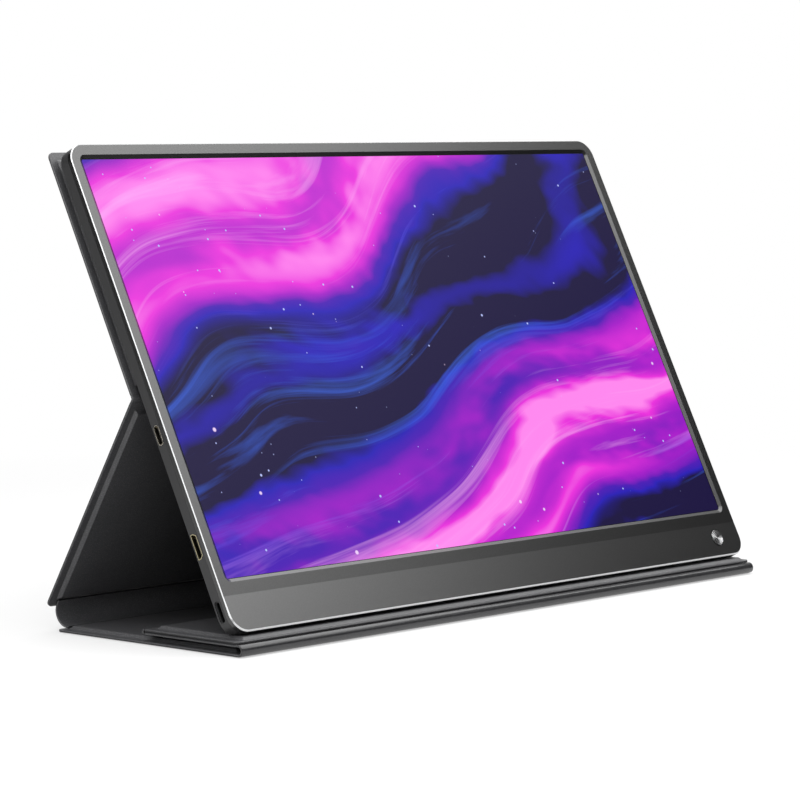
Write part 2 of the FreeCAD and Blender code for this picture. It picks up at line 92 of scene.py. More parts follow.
# Split leather with a rolled polyurethane coat: fine pebble grain whose grooves carry painted shade, a
# satin top that catches a soft highlight on every edge, and a slightly uneven dye. The outer leather is
# nearly black under a thick coat, the lining a lighter charcoal under a thin one; the lining's lighter
# charcoal is partly painted light, standing in for light on the lined faces inside the cover. The grain is
# really about 0.5 mm and is drawn at 0.9 mm so that it shows.
GRAIN = 0.9 * MM
GRAIN_DEPTH = 0.03 * MM
GROOVE_SHARE = 0.35
DYE_PATCH = 28 * MM


def coated_leather(name, groove_shade, dark, light, coat):
    """Grained leather with the painted shade of its grooves, the colours of its dye and the settings of its
    coat.
    """
    made, tree, shader = new_material(name, {"IOR": 1.5, "Coat IOR": 1.5, **coat})
    where = add_node(tree, "ShaderNodeTexCoord", {})
    pebbles = add_node(
        tree,
        "ShaderNodeTexVoronoi",
        {"feature": "DISTANCE_TO_EDGE", "Scale": 1 / GRAIN},
        {"Vector": where.outputs["Object"]},
    )
    pebble_height = add_node(
        tree, "ShaderNodeMapRange", {"From Max": GROOVE_SHARE}, {"Value": pebbles.outputs["Distance"]}
    )
    dye_patches = add_node(
        tree,
        "ShaderNodeTexNoise",
        {"Scale": 1 / DYE_PATCH, "Detail": 4.0},
        {"Vector": where.outputs["Object"]},
    )
    dye = add_node(
        tree,
        "ShaderNodeValToRGB",
        {"stops": [(0.3, dark), (0.7, light)]},
        {"Fac": dye_patches.outputs["Fac"]},
    )
    # The grain's grooves are painted darker, as shade in the recesses.
    shaded_grooves = add_node(
        tree,
        "ShaderNodeMix",
        {"data_type": "RGBA", "blend_type": "MIX", 6: linear(groove_shade)},
        {0: pebble_height.outputs["Result"], 7: dye.outputs["Color"]},
    )
    tree.links.new(shaded_grooves.outputs[2], shader.inputs["Base Color"])
    polish = add_node(
        tree,
        "ShaderNodeMapRange",
        {"To Min": 0.5, "To Max": 0.4},
        {"Value": dye_patches.outputs["Fac"]},
    )
    tree.links.new(polish.outputs["Result"], shader.inputs["Roughness"])
    emboss = add_node(
        tree,
        "ShaderNodeBump",
        {"Strength": 0.25, "Distance": GRAIN_DEPTH},
        {"Height": pebble_height.outputs["Result"]},
    )
    tree.links.new(emboss.outputs["Normal"], shader.inputs["Normal"])
    tree.links.new(emboss.outputs["Normal"], shader.inputs["Coat Normal"])
    return made


leather = coated_leather(
    "coated_split_leather", "#1b1b1d", "#262628", "#2e2e30",
    {"Specular IOR Level": 0.25, "Coat Weight": 0.7, "Coat Roughness": 0.12},
)
# The lining's lighter charcoal is partly painted light on the lined faces inside the cover.
lining = coated_leather(
    "thinly_coated_split_leather", "#3a3a3c", "#4a4a4c", "#545456",
    {"Specular IOR Level": 0.4, "Coat Weight": 0.3, "Coat Roughness": 0.14},
)

FLANGE = 1.1 * MM
PANEL_DEPTH = 2.6 * MM
COVER_HALF = 179.5 * MM
FREE_CORNER = 3.0 * MM
BORDER = 3.4 * MM
JOINED_CORNER = 0.6 * MM
LEAST_CORNER = 0.2 * MM
# Inset from the panel's edge and height above its outer face, in millimetres, from the middle of the
# skin's outer face round its turned edge, and from the lining's edge up over the bevelled board.
SKIN_PROFILE = [
    (9.0, 0.0), (5.6, 0.0), (5.2, 0.05), (4.8, 0.05), (4.4, 0.0), (0.5, 0.0),
    (0.22, 0.04), (0.06, 0.16), (0.0, 0.3), (0.05, 0.42), (0.2, 0.5),
]
LINING_PROFILE = [
    (0.2, 0.5), (0.05, 0.6), (0.0, 0.75), (0.06, 0.93), (0.2, 1.06), (0.42, 1.1),
    (3.5, 1.1), (3.75, 1.12), (4.0, 1.26), (5.15, 2.3), (5.35, 2.46), (5.65, 2.55),
    (8.0, 2.575), (18.0, 2.59),
]


def rounded_ring(left, right, low, high, radii, steps=6):
    """Rectangle with its own radius at each corner, anticlockwise from the low left one."""
    points = []
    corners = ((left, low, 1, 1), (right, low, -1, 1), (right, high, -1, -1), (left, high, 1, -1))
    for turn, ((x, y, inward_x, inward_y), radius) in enumerate(zip(corners, radii)):
        for step in range(steps + 1):
            angle = math.radians(180 + 90 * (turn + step / steps))
            points.append((
                x + inward_x * radius + radius * math.cos(angle),
                y + inward_y * radius + radius * math.sin(angle),
            ))
    return points


def add_piece(name, form, material, sharp=35):
    """Object from a finished bmesh, smooth except at edges sharper than the given angle."""
    mesh = bpy.data.meshes.new(name)
    bmesh.ops.recalc_face_normals(form, faces=form.faces)
    form.to_mesh(mesh)
    form.free()
    mesh.shade_smooth()
    mesh.set_sharp_from_angle(angle=math.radians(sharp))
    mesh.materials.append(material)
    piece = bpy.data.objects.new(name, mesh)
    bpy.context.scene.collection.objects.link(piece)
    return piece


def lofted(rings, close_ends=True):
    """Skin over rings of equal count, from the first to the last."""
    form = bmesh.new()
    loops = [[form.verts.new(p) for p in ring] for ring in rings]
    for lower, upper in zip(loops, loops[1:]):
        for i in range(len(lower)):
            j = (i + 1) % len(lower)
            form.faces.new((lower[i], lower[j], upper[j], upper[i]))
    if close_ends:
        form.faces.new(reversed(loops[0]))
        form.faces.new(loops[-1])
    return form


def panel_layer(name, profile, material, span, place, free_end, board_reach):
    """Skin or lining of one panel, lying along Y between the two ends of span before it is placed.

    The board lies nearer to the far end than to the other edges by board_reach.
    """
    rings = []
    for inset, height in profile:
        inset *= MM
        joined = max(JOINED_CORNER - inset, LEAST_CORNER)
        free = max(FREE_CORNER - inset, JOINED_CORNER) if free_end else joined
        outline = rounded_ring(
            -COVER_HALF + inset, COVER_HALF - inset, span[0] + inset,
            span[1] - inset + (board_reach if inset > BORDER else 0),
            (joined, joined, free, free),
        )
        rings.append([place @ Vector((x, y, height * MM)) for x, y in outline])
    piece = add_piece(name, lofted(rings), material)
    flats = piece.modifiers.new("flat_faces", "WEIGHTED_NORMAL")
    flats.keep_sharp = True
    return piece


def cover_panel(body, span, place, free_end=True, board_reach=0.0):
    """Both leather layers of a panel, which ride on its body and stand for its two solids."""
    for layer, profile, material, finish in (
        ("skin", SKIN_PROFILE, leather, "charcoal_leather"),
        ("lining", LINING_PROFILE, lining, "charcoal_lining"),
    ):
        name = body + "_leather_" + layer
        piece = panel_layer(name, profile, material, span, place, free_end, board_reach)
        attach(piece, body)
        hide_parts(body + "_" + layer)


FOLD_GAP = 0.5 * MM
FRONT_AXIS = Vector((0, -53.55 * MM, 2.65 * MM))
BASE_REAR = 56.2 * MM
cover_panel("base", (FOLD_GAP, BASE_REAR - FRONT_AXIS.y), Matrix.Translation((0, FRONT_AXIS.y, 0)))

# Middle and top flap: two narrower panels that follow on from the base. The middle one is folded back
# over it with its outer face up, and the top one forward again, so that the monitor's foot stands on it.
# Its board reaches almost to the front edge.
REAR_AXIS = Vector((0, 2.05 * MM, 5.35 * MM))
STACK_GAP = 0.1 * MM
MIDDLE_LENGTH = REAR_AXIS.y - FRONT_AXIS.y
TOP_LENGTH = 56.0 * MM
TOP_BOARD_REACH = 2.8 * MM
stack_top = 2 * PANEL_DEPTH + STACK_GAP
cover_panel(
    "middle_flap",
    (FOLD_GAP, MIDDLE_LENGTH - FOLD_GAP),
    Matrix.Translation((0, FRONT_AXIS.y, stack_top)) @ Matrix.Rotation(math.pi, 4, "Y"),
    free_end=False,
)
cover_panel(
    "top_flap",
    (FOLD_GAP, TOP_LENGTH),
    Matrix.Translation((0, REAR_AXIS.y, stack_top + STACK_GAP)) @ Matrix.Rotation(math.pi, 4, "Z"),
    board_reach=TOP_BOARD_REACH,
)

# Front and rear fold: where the flaps turn over there is no board, only skin and lining glued to each
# other, and this soft strip runs round in a half circle. Its ends are turned in and rounded.
END_ROUND = 0.5 * MM
END_STEPS = 4
END_START = math.radians(15)
STRIP_SPANS = 24
FOLD_STEPS = 28


def leather_strip(name, skin_line, lining_line, half_length):
    """Strip along X between the lines of its two layers across it, with rounded ends.

    The skin's side has the outer leather and the other side the lining.
    """
    middle = [(a + b) / 2 for a, b in zip(skin_line, lining_line)]
    end = []
    for step in range(END_STEPS):
        angle = END_START + (math.pi / 2 - END_START) * step / END_STEPS
        end.append((half_length - END_ROUND * (1 - math.cos(angle)), math.sin(angle)))
    inside = half_length - END_ROUND
    spans = [(inside - 2 * inside * i / STRIP_SPANS, 1.0) for i in range(STRIP_SPANS + 1)]
    rings = []
    for x, share in end + spans + [(-x, share) for x, share in reversed(end)]:
        ring = [m + (p - m) * share for m, p in zip(middle, skin_line)]
        ring += [m + (p - m) * share for m, p in reversed(list(zip(middle, lining_line)))]
        rings.append([Vector((x, p.y, p.z)) for p in ring])
    strip = add_piece(name, lofted(rings), leather, sharp=60)
    strip.data.materials.append(lining)
    around = 2 * len(middle)
    for face in strip.data.polygons[:-2]:
        face.material_index = int(len(middle) <= face.index % around < around - 1)
    return strip


def half_round(axis, side, skin_radius, lining_radius):
    """Lines of both layers round an axis along X: a half circle from below to above, with straight tabs."""
    lines = []
    for radius in (skin_radius, lining_radius):
        line = [axis + Vector((0, -side * FOLD_GAP, -radius))]
        for step in range(FOLD_STEPS + 1):
            angle = math.pi * step / FOLD_STEPS
            line.append(axis + Vector((0, side * math.sin(angle), -math.cos(angle))) * radius)
        line.append(axis + Vector((0, -side * FOLD_GAP, radius)))
        lines.append(line)
    return lines


front_fold = leather_strip(
    "front_fold_leather",
    *half_round(FRONT_AXIS, -1, FRONT_AXIS.z, FRONT_AXIS.z - FLANGE),
    COVER_HALF,
)
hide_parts("front_fold")
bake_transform(front_fold)
rear_fold = leather_strip(
    "rear_fold_leather",
    *half_round(REAR_AXIS, 1, STACK_GAP / 2, STACK_GAP / 2 + FLANGE),
    COVER_HALF,
)
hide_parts("rear_fold")
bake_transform(rear_fold)

# Leg and back panel: the leg slants up from behind the base to a crease at half the monitor's height,
# and the back panel goes on from there up the monitor's back, which its magnets hold.
tilt = math.radians(26.45)
lean = math.radians(30.2633)
CREASE = Vector((0, 8.6701 * MM, 103.7112 * MM))
CREASE_GAP = 1.2 * MM
LEG_LENGTH = 107.803 * MM
BACK_LENGTH = 115.19 * MM
leg_down = Vector((0, math.sin(lean), -math.cos(lean)))
leg_inward = Vector((0, -math.cos(lean), -math.sin(lean)))
back_up = Vector((0, math.sin(tilt), math.cos(tilt)))
back_inward = Vector((0, -math.cos(tilt), math.sin(tilt)))


def axes_at(origin, x_axis, y_axis, z_axis):
    """Place of a piece whose own axes point along the three given ones."""
    turn = Matrix((x_axis, y_axis, z_axis)).transposed().to_4x4()
    return Matrix.Translation(origin) @ turn


leg_place = axes_at(CREASE, Vector((-1, 0, 0)), leg_down, leg_inward)
back_place = axes_at(CREASE, Vector((1, 0, 0)), back_up, back_inward)
cover_panel("leg", (CREASE_GAP, LEG_LENGTH), leg_place)
cover_panel("back_panel", (CREASE_GAP, BACK_LENGTH), back_place)

# Upper fold: the crease between leg and back panel, where skin and lining are glued to each other with
# no board between. It is heat-pressed to a sharp line outside and stays round inside.
CREASE_PRESS = 0.3 * MM
crease_out = [CREASE + leg_down * CREASE_GAP, CREASE + leg_down * CREASE_PRESS]
crease_out += [CREASE, CREASE + back_up * CREASE_PRESS, CREASE + back_up * CREASE_GAP]
crease_in = [CREASE + leg_down * CREASE_GAP + leg_inward * FLANGE]
for share in (0.0, 0.5, 1.0):
    inward = leg_inward.lerp(back_inward, share).normalized()
    crease_in.append(CREASE + inward * FLANGE)
crease_in.append(CREASE + back_up * CREASE_GAP + back_inward * FLANGE)
upper_fold = leather_strip("upper_fold_leather", crease_out, crease_in, COVER_HALF)
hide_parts("upper_fold")
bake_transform(upper_fold)

# Spine: a broad strip of the same leather between base and leg, glued inside their borders and a little
# narrower than they are. Standing up it bows out in an arc, and it is built here in that arc. On the real
# cover, with the leg laid back it lies between them, and it stays stiff where it is glued, so only the
# middle of the arc bends.
SPINE_HALF = COVER_HALF - 4.6 * MM
SPINE_THICKNESS = 0.9 * MM
SPINE_TAB = 1.2 * MM
SPINE_FLOOR = 1.2 * MM
SPINE_OVERLAP = 1.7 * MM
SPINE_STEPS = 28
spine_y = BASE_REAR - SPINE_OVERLAP
leg_end = CREASE + leg_down * LEG_LENGTH + leg_inward * SPINE_FLOOR
spine_rise = math.cos(lean) * (leg_end.y - spine_y) + math.sin(lean) * (leg_end.z - SPINE_FLOOR)
spine_radius = spine_rise / (1 + math.sin(lean))
spine_centre = Vector((0, spine_y, SPINE_FLOOR + spine_radius))
spine_turn = math.pi / 2 + lean


def spine_point(angle, radius):
    """Point on the spine's arc, from the base at zero round to the leg."""
    return spine_centre + Vector((0, math.sin(angle), -math.cos(angle))) * radius


spine_lines = []
for radius in (spine_radius, spine_radius - SPINE_THICKNESS):
    line = [spine_centre + Vector((0, -SPINE_TAB, -radius))]
    line += [spine_point(spine_turn * step / SPINE_STEPS, radius) for step in range(SPINE_STEPS + 1)]
    line.append(spine_centre - leg_inward * radius - leg_down * SPINE_TAB)
    spine_lines.append(line)
spine = leather_strip("spine_leather", *spine_lines, SPINE_HALF)
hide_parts("spine_strip")
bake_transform(spine)


def finish_solids(material, *names):
    """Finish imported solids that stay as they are."""
    for name in names:
        solids[name].data.materials.clear()
        solids[name].data.materials.append(material)


# Greyboard from waste paper: matte, with short fibres of lighter and darker pulp about 2 mm long.
greyboard, tree, shader = new_material("pressed_greyboard", {"IOR": 1.5, "Roughness": 0.9})
where = add_node(tree, "ShaderNodeTexCoord", {})
fibres = add_node(
    tree,
    "ShaderNodeTexNoise",
    {"Scale": 1 / (2 * MM), "Detail": 5.0},
    {"Vector": where.outputs["Object"]},
)
pulp = add_node(
    tree,
    "ShaderNodeValToRGB",
    {"stops": [(0.35, "#8a8781"), (0.65, "#a5a29b")]},
    {"Fac": fibres.outputs["Fac"]},
)
tree.links.new(pulp.outputs["Color"], shader.inputs["Base Color"])
finish_solids(
    greyboard, "base_board", "middle_flap_board", "top_flap_board", "leg_board", "back_panel_board"
)

# Magnets: nickel-plated discs, some set in the back panel's board and some behind them in the housing.
# The plating is bright with a faint yellow cast and fine turning marks about 0.3 mm apart.
nickel, tree, shader = new_material("nickel_plating", {"Metallic": 1.0, "Base Color": linear("#cfc8ba")})
where = add_node(tree, "ShaderNodeTexCoord", {})
turning = add_node(
    tree, "ShaderNodeTexNoise", {"Scale": 1 / (0.3 * MM)}, {"Vector": where.outputs["Object"]}
)
plating = add_node(
    tree,
    "ShaderNodeMapRange",
    {"To Min": 0.18, "To Max": 0.34},
    {"Value": turning.outputs["Fac"]},
)
tree.links.new(plating.outputs["Result"], shader.inputs["Roughness"])
finish_solids(nickel, "back_panel_magnets", "housing_magnets")

# Back cover: an injection-moulded tub of grey ABS that forms the side walls and the drawn-in back, with
# cut-outs for the sockets and the speakers. The tool was spark-eroded, which leaves a fine even mattness
# of about 0.2 mm grit, drawn at 0.6 mm here.
abs_grey, tree, shader = new_material("moulded_grey_abs", {"IOR": 1.53, "Specular IOR Level": 0.5})
where = add_node(tree, "ShaderNodeTexCoord", {})
spark_grit = add_node(
    tree,
    "ShaderNodeTexNoise",
    {"Scale": 1 / (0.6 * MM), "Detail": 3.0},
    {"Vector": where.outputs["Object"]},
)
abs_tone = add_node(
    tree,
    "ShaderNodeValToRGB",
    {"stops": [(0.3, "#1f1f20"), (0.7, "#252526")]},
    {"Fac": spark_grit.outputs["Fac"]},
)
tree.links.new(abs_tone.outputs["Color"], shader.inputs["Base Color"])
abs_sheen = add_node(
    tree, "ShaderNodeMapRange", {"To Min": 0.4, "To Max": 0.52}, {"Value": spark_grit.outputs["Fac"]}
)
tree.links.new(abs_sheen.outputs["Result"], shader.inputs["Roughness"])
abs_bump = add_node(
    tree, "ShaderNodeBump", {"Strength": 0.15, "Distance": 0.02 * MM}, {"Height": spark_grit.outputs["Fac"]}
)
tree.links.new(abs_bump.outputs["Normal"], shader.inputs["Normal"])
finish_solids(abs_grey, "back_cover")

# Main board and key board: glass-epoxy laminate under green solder mask, which is clear enough to show
# the copper runs as slightly lighter lanes about 0.8 mm apart.
laminate, tree, shader = new_material("solder_masked_laminate", {"IOR": 1.5, "Roughness": 0.35})
where = add_node(tree, "ShaderNodeTexCoord", {})
copper_runs = add_node(
    tree,
    "ShaderNodeTexBrick",
    {
        "Scale": 1 / (6 * MM), "Color1": linear("#1c5a34"), "Color2": linear("#17492b"),
        "Mortar": linear("#2a7546"), "Mortar Size": 0.06, "Brick Width": 0.9, "Row Height": 0.14,
    },
    {"Vector": where.outputs["Object"]},
)
tree.links.new(copper_runs.outputs["Color"], shader.inputs["Base Color"])
finish_solids(laminate, "main_board", "key_board")

# Board screws and backlight tray: zinc-plated steel. The screws hold the main board, and the pressed tray
# lies behind the display. The plating is satin, with a cloudy passivated bloom about 3 mm across.
zinc, tree, shader = new_material("zinc_plated_steel", {"Metallic": 1.0})
where = add_node(tree, "ShaderNodeTexCoord", {})
bloom = add_node(
    tree,
    "ShaderNodeTexNoise",
    {"Scale": 1 / (3 * MM), "Detail": 4.0},
    {"Vector": where.outputs["Object"]},
)
zinc_tone = add_node(
    tree,
    "ShaderNodeValToRGB",
    {"stops": [(0.3, "#a9abad"), (0.7, "#c4c5c6")]},
    {"Fac": bloom.outputs["Fac"]},
)
tree.links.new(zinc_tone.outputs["Color"], shader.inputs["Base Color"])
zinc_gloss = add_node(
    tree, "ShaderNodeMapRange", {"To Min": 0.28, "To Max": 0.45}, {"Value": bloom.outputs["Fac"]}
)
tree.links.new(zinc_gloss.outputs["Result"], shader.inputs["Roughness"])
finish_solids(zinc, "board_screws", "backlight_unit")


# Sockets: shells drawn from plated steel strip, each open to the left round a moulded tongue. The upper,
# rounded one is nickel over steel, a warm grey, and the lower, wider one has a thin flash of pale gold.
def drawn_shell(name, dark, light):
    """Plated strip with drawing lines about 0.4 mm apart along the way that the plug goes in."""
    made, shell_tree, shell_shader = new_material(name, {"Metallic": 1.0})
    place = add_node(shell_tree, "ShaderNodeTexCoord", {})
    lanes = add_node(
        shell_tree,
        "ShaderNodeMapping",
        {"Scale": (1 / (8 * MM), 1 / (0.4 * MM), 1 / (0.4 * MM))},
        {"Vector": place.outputs["Object"]},
    )
    lines = add_node(shell_tree, "ShaderNodeTexNoise", {"Scale": 1.0}, {"Vector": lanes.outputs["Vector"]})
    tone = add_node(
        shell_tree,
        "ShaderNodeValToRGB",
        {"stops": [(0.3, dark), (0.7, light)]},
        {"Fac": lines.outputs["Fac"]},
    )
    shell_tree.links.new(tone.outputs["Color"], shell_shader.inputs["Base Color"])
    gloss = add_node(
        shell_tree, "ShaderNodeMapRange", {"To Min": 0.18, "To Max": 0.28}, {"Value": lines.outputs["Fac"]}
    )
    shell_tree.links.new(gloss.outputs["Result"], shell_shader.inputs["Roughness"])
    return made


finish_solids(drawn_shell("nickel_plated_strip", "#d6cebd", "#e9e2d3"), "usb_c_shell")
finish_solids(drawn_shell("gold_flashed_strip", "#b3a987", "#cbc2a1"), "mini_hdmi_shell")

# Tongues, cable connector, speaker boxes and key switch: black glass-filled nylon, injection-moulded and
# soldered or clipped in place. It is dull, with faint flow marks about 1.5 mm across.
nylon, tree, shader = new_material("black_moulded_nylon", {"IOR": 1.53, "Specular IOR Level": 0.4})
where = add_node(tree, "ShaderNodeTexCoord", {})
flow = add_node(
    tree,
    "ShaderNodeTexNoise",
    {"Scale": 1 / (1.5 * MM), "Detail": 3.0},
    {"Vector": where.outputs["Object"]},
)
nylon_tone = add_node(
    tree,
    "ShaderNodeValToRGB",
    {"stops": [(0.3, "#0d0d0e"), (0.7, "#151516")]},
    {"Fac": flow.outputs["Fac"]},
)
tree.links.new(nylon_tone.outputs["Color"], shader.inputs["Base Color"])
nylon_gloss = add_node(
    tree, "ShaderNodeMapRange", {"To Min": 0.45, "To Max": 0.6}, {"Value": flow.outputs["Fac"]}
)
tree.links.new(nylon_gloss.outputs["Result"], shader.inputs["Roughness"])
finish_solids(
    nylon, "usb_c_tongue", "mini_hdmi_tongue", "flex_connector", "left_speaker", "right_speaker",
    "key_switch",
)

# Panel cable: a flat cable from the main board to the display, of amber polyimide film laminated over
# copper. The lanes, about 0.5 mm apart, show through it. A wave texture of scale 1 repeats every 0.314 m.
WAVE_PERIOD = 0.314
polyimide, tree, shader = new_material("polyimide_film", {"IOR": 1.7, "Roughness": 0.25})
where = add_node(tree, "ShaderNodeTexCoord", {})
lanes = add_node(
    tree,
    "ShaderNodeTexWave",
    {"bands_direction": "X", "Scale": WAVE_PERIOD / (0.5 * MM)},
    {"Vector": where.outputs["Object"]},
)
film_tone = add_node(
    tree,
    "ShaderNodeValToRGB",
    {"stops": [(0.4, "#8a4a12"), (0.6, "#b5712c")]},
    {"Fac": lanes.outputs["Fac"]},
)
tree.links.new(film_tone.outputs["Color"], shader.inputs["Base Color"])
finish_solids(polyimide, "panel_flex")

# Panel tape: black closed-cell acrylic foam, die-cut in a ring that sticks the display to the frame. Its
# cut edge is dull, with cells about 0.5 mm across.
foam, tree, shader = new_material("acrylic_foam_tape", {"IOR": 1.48, "Roughness": 0.85})
where = add_node(tree, "ShaderNodeTexCoord", {})
cells = add_node(
    tree, "ShaderNodeTexVoronoi", {"Scale": 1 / (0.5 * MM)}, {"Vector": where.outputs["Object"]}
)
foam_tone = add_node(
    tree,
    "ShaderNodeValToRGB",
    {"stops": [(0.1, "#0b0b0b"), (0.8, "#161616")]},
    {"Fac": cells.outputs["Distance"]},
)
tree.links.new(foam_tone.outputs["Color"], shader.inputs["Base Color"])
finish_solids(foam, "panel_tape")

# Display: a lit liquid-crystal panel behind etched, nearly matte glass. It shows a plain abstract
# wallpaper of flowing light in blue, violet and pink with scattered specks, and black outside it.
# Scales in the picture are in shares of its height.
MONITOR_ORIGIN = Vector((0, -51.8732 * MM, 9.8535 * MM))
ACTIVE_WIDTH = 344.16 * MM
ACTIVE_HEIGHT = 193.59 * MM
CHIN_HEIGHT = 24.0 * MM
screen_up = Vector((0, math.sin(tilt), math.cos(tilt)))
display, tree, shader = new_material(
    "lit_display_glass",
    {"Base Color": linear("#050507"), "IOR": 1.5, "Specular IOR Level": 0.12, "Roughness": 0.4,
     "Emission Strength": 1.0},
)
where = add_node(tree, "ShaderNodeTexCoord", {})
across = add_node(tree, "ShaderNodeSeparateXYZ", {}, {"Vector": where.outputs["Object"]})
height = add_node(
    tree,
    "ShaderNodeVectorMath",
    {"operation": "DOT_PRODUCT", 1: screen_up},
    {0: where.outputs["Object"]},
)
picture_x = add_node(
    tree,
    "ShaderNodeMath",
    {"operation": "MULTIPLY", 1: 1 / ACTIVE_HEIGHT},
    {0: across.outputs["X"]},
)
picture_base = MONITOR_ORIGIN.dot(screen_up) + CHIN_HEIGHT
picture_y = add_node(
    tree,
    "ShaderNodeMath",
    {"operation": "MULTIPLY_ADD", 1: 1 / ACTIVE_HEIGHT, 2: -picture_base / ACTIVE_HEIGHT},
    {0: height.outputs["Value"]},
)
picture = add_node(
    tree, "ShaderNodeCombineXYZ", {}, {"X": picture_x.outputs[0], "Y": picture_y.outputs[0]}
)
drift = add_node(
    tree,
    "ShaderNodeTexNoise",
    {"Scale": 0.9, "Detail": 1.5, "Roughness": 0.4},
    {"Vector": picture.outputs["Vector"]},
)
drifted = add_node(
    tree,
    "ShaderNodeVectorMath",
    {"operation": "MULTIPLY_ADD", 1: (0.75, 0.75, 0.0)},
    {0: drift.outputs["Color"], 2: picture.outputs["Vector"]},
)
slanted = add_node(
    tree,
    "ShaderNodeMapping",
    {"Rotation": (0, 0, math.radians(-32)), "Scale": (0.55, 1.0, 1.0)},
    {"Vector": drifted.outputs["Vector"]},
)
broad_waves = add_node(
    tree,
    "ShaderNodeTexWave",
    {"bands_direction": "Y", "wave_profile": "SIN", "Scale": 0.42, "Distortion": 3.0, "Detail": 1.0,
     "Detail Scale": 0.8, "Phase Offset": 1.1},
    {"Vector": slanted.outputs["Vector"]},
)
silk = add_node(
    tree,
    "ShaderNodeTexWave",
    {"bands_direction": "Y", "wave_profile": "SIN", "Scale": 1.5, "Distortion": 9.0, "Detail": 5.0,
     "Detail Scale": 0.7, "Detail Roughness": 0.62},
    {"Vector": slanted.outputs["Vector"]},
)
silk_share = add_node(
    tree, "ShaderNodeMapRange", {"To Min": -0.3, "To Max": 0.12}, {"Value": silk.outputs["Fac"]}
)
glow_level = add_node(
    tree,
    "ShaderNodeMath",
    {"operation": "ADD"},
    {0: broad_waves.outputs["Fac"], 1: silk_share.outputs["Result"]},
)
wave_colour = add_node(
    tree,
    "ShaderNodeValToRGB",
    {"stops": [(0.0, "#12053c"), (0.2, "#2416b4"), (0.4, "#4b10b4"), (0.62, "#a410c8"),
               (0.84, "#ea2bdc"), (1.0, "#ff86ee")]},
    {"Fac": glow_level.outputs[0]},
)
streak_lanes = add_node(
    tree,
    "ShaderNodeMapping",
    {"Scale": (0.6, 9.0, 1.0)},
    {"Vector": slanted.outputs["Vector"]},
)
streaks = add_node(
    tree,
    "ShaderNodeTexNoise",
    {"Scale": 2.2, "Detail": 5.0, "Roughness": 0.6, "Distortion": 0.6},
    {"Vector": streak_lanes.outputs["Vector"]},
)
streak_light = add_node(
    tree,
    "ShaderNodeMapRange",
    {"From Min": 0.53, "From Max": 0.8, "To Max": 0.8},
    {"Value": streaks.outputs["Fac"]},
)
streak_colour = add_node(
    tree,
    "ShaderNodeValToRGB",
    {"stops": [(0.25, "#3d6df2"), (0.5, "#7a4cf0"), (0.75, "#ffb4fa")]},
    {"Fac": broad_waves.outputs["Fac"]},
)
streaked = add_node(
    tree,
    "ShaderNodeMix",
    {"data_type": "RGBA"},
    {0: streak_light.outputs["Result"], 6: wave_colour.outputs["Color"], 7: streak_colour.outputs["Color"]},
)
with_specks = streaked
for cells_across, largest, tint in ((13.0, 0.085, "#f6d8ff"), (31.0, 0.12, "#b9c4ff")):
    speck_cells = add_node(
        tree, "ShaderNodeTexVoronoi", {"Scale": cells_across}, {"Vector": picture.outputs["Vector"]}
    )
    speck_size = add_node(
        tree, "ShaderNodeSeparateColor", {}, {"Color": speck_cells.outputs["Color"]}
    )
    speck_reach = add_node(
        tree,
        "ShaderNodeMapRange",
        {"From Min": 0.45, "From Max": 1.0, "To Max": largest},
        {"Value": speck_size.outputs["Red"]},
    )
    speck_gap = add_node(
        tree,
        "ShaderNodeMath",
        {"operation": "SUBTRACT"},
        {0: speck_reach.outputs["Result"], 1: speck_cells.outputs["Distance"]},
    )
    speck_light = add_node(
        tree, "ShaderNodeMapRange", {"From Max": 0.03, "To Max": 0.9}, {"Value": speck_gap.outputs[0]}
    )
    with_specks = add_node(
        tree,
        "ShaderNodeMix",
        {"data_type": "RGBA", 7: linear(tint)},
        {0: speck_light.outputs["Result"], 6: with_specks.outputs[2]},
    )
side_reach = add_node(tree, "ShaderNodeMath", {"operation": "ABSOLUTE"}, {0: picture_x.outputs[0]})
inside_sides = add_node(
    tree,
    "ShaderNodeMath",
    {"operation": "LESS_THAN", 1: ACTIVE_WIDTH / ACTIVE_HEIGHT / 2},
    {0: side_reach.outputs[0]},
)
centred_y = add_node(
    tree, "ShaderNodeMath", {"operation": "SUBTRACT", 1: 0.5}, {0: picture_y.outputs[0]}
)
up_reach = add_node(tree, "ShaderNodeMath", {"operation": "ABSOLUTE"}, {0: centred_y.outputs[0]})
inside_ends = add_node(
    tree, "ShaderNodeMath", {"operation": "LESS_THAN", 1: 0.5}, {0: up_reach.outputs[0]}
)
lit_area = add_node(
    tree,
    "ShaderNodeMath",
    {"operation": "MULTIPLY"},
    {0: inside_sides.outputs[0], 1: inside_ends.outputs[0]},
)
lit = add_node(
    tree,
    "ShaderNodeMix",
    {"data_type": "RGBA", 6: (0.0, 0.0, 0.0, 1.0)},
    {0: lit_area.outputs[0], 7: with_specks.outputs[2]},
)
tree.links.new(lit.outputs[2], shader.inputs["Emission Color"])
finish_solids(display, "lcd_glass")

# Front frame: a thin aluminium plate, blasted and anodised dark grey, with a bevelled window. Its rim is
# cut bright after anodising, and below a crease the chin rises by a fraction of a millimetre.
HALF_WIDTH = 178.88 * MM
FULL_HEIGHT = 224.39 * MM
HOUSING_CORNER = 8.5 * MM
LEAST_HOUSING_CORNER = 0.5 * MM
RIM_CUT = 0.35 * MM
PLATE = 0.9 * MM
BAND = 2.3 * MM
LIP = 3.0 * MM
LIP_INSETS = (1.3 * MM, 2.3 * MM)
WINDOW_MARGIN = 0.3 * MM
WINDOW_BEVEL = 1.6 * MM
WINDOW_CORNER = 1.5 * MM
CORNER_STEPS = 12
CHIN_CREASE = 16.4 * MM
CHIN_RISE = 0.3 * MM
KEY_CENTRE = (160.78 * MM, 9.6 * MM)
KEY_HOLE = 4.3 * MM
KEY_HOLE_SIDES = 48
DRILL_LENGTH = 4 * MM
TOUCHING = 1e-7
monitor_place = Matrix.Translation(MONITOR_ORIGIN) @ Matrix.Rotation(-tilt, 4, "X")


